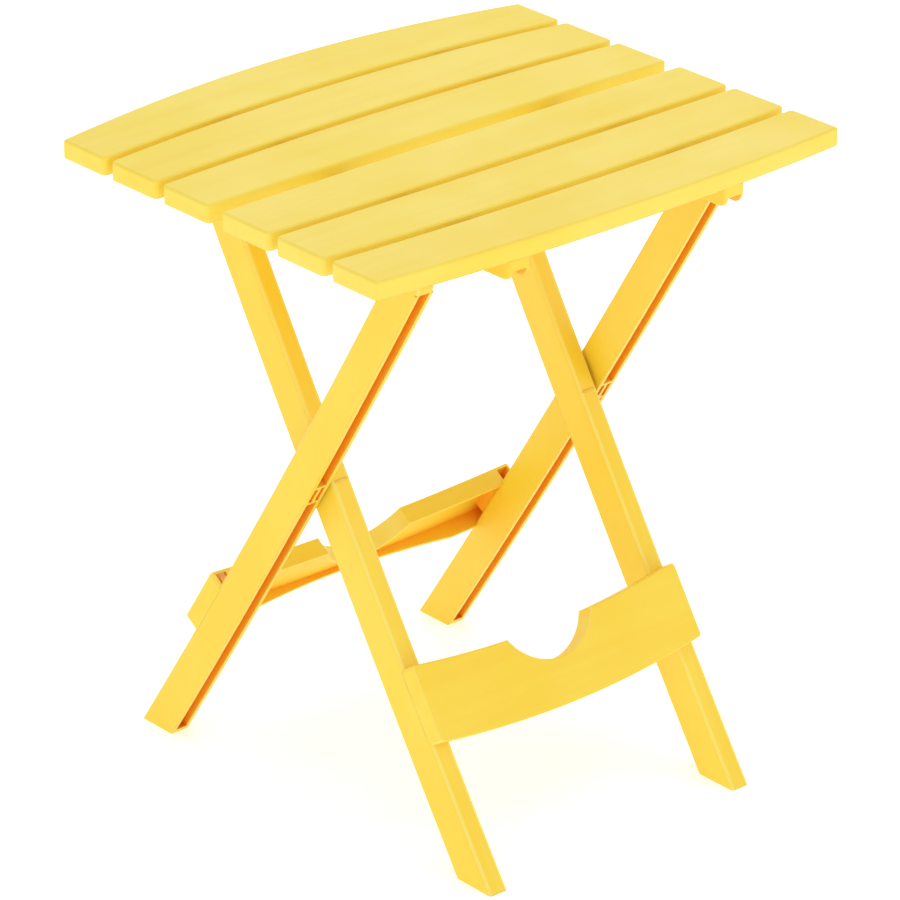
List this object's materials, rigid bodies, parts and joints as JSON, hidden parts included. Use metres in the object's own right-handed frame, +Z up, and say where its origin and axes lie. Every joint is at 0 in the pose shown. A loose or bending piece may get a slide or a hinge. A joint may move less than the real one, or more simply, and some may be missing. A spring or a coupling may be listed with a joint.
{
  "type": "folding side table",
  "caption": "Small folding side table with a bowed slatted top in two hinged halves on crossed channel legs, each leg frame tied by a brace with a hand notch.",
  "frame": {"origin": "on the floor, under the middle of the table top", "axes": "+X along the slats, to the right when the front is faced; +Y from the front brace's side to the back; +Z up"},
  "size_m": [0.444, 0.389, 0.5115],
  "materials": {
    "slats": "satin moulded resin, fine texture",
    "frames": "satin moulded resin",
    "rails": "satin moulded resin",
    "pins": "smooth moulded resin"
  },
  "bodies": {
    "outer_frame": {"outer_leg_left": "frames", "outer_leg_right": "frames", "back_brace": "frames", "cross_pin_left": "pins", "cross_pin_right": "pins", "front_pin_left": "pins", "front_pin_right": "pins"},
    "inner_frame": {"inner_leg_left": "frames", "inner_leg_right": "frames", "front_brace": "frames", "back_pin_left": "pins", "back_pin_right": "pins"},
    "front_half": {"front_slat_outer": "slats", "front_slat_mid": "slats", "front_slat_inner": "slats", "front_rail_left": "rails", "front_rail_right": "rails", "centre_pin_left": "pins", "centre_pin_right": "pins"},
    "back_half": {"back_slat_outer": "slats", "back_slat_mid": "slats", "back_slat_inner": "slats", "back_rail_left": "rails", "back_rail_right": "rails"}
  },
  "joints": [
    {"name": "leg_fold", "type": "hinge", "parent": "outer_frame", "child": "inner_frame", "pos_m": [0, 0, 0.2715], "axis": [1, 0, 0], "range_deg": [0, 57.88]},
    {"name": "front_half_fold", "type": "hinge", "parent": "outer_frame", "child": "front_half", "pos_m": [0, -0.12119, 0.47], "axis": [1, 0, 0], "range_deg": [0, 112.42]},
    {"name": "back_half_fold", "type": "hinge", "parent": "front_half", "child": "back_half", "pos_m": [0, 0, 0.474], "axis": [1, 0, 0], "range_deg": [-166.85, 0]}
  ],
  "couplings": [
    {"joint": "front_half_fold", "follows": "leg_fold", "ratio": 1.9405},
    {"joint": "back_half_fold", "follows": "leg_fold", "ratio": -2.881}
  ]
}
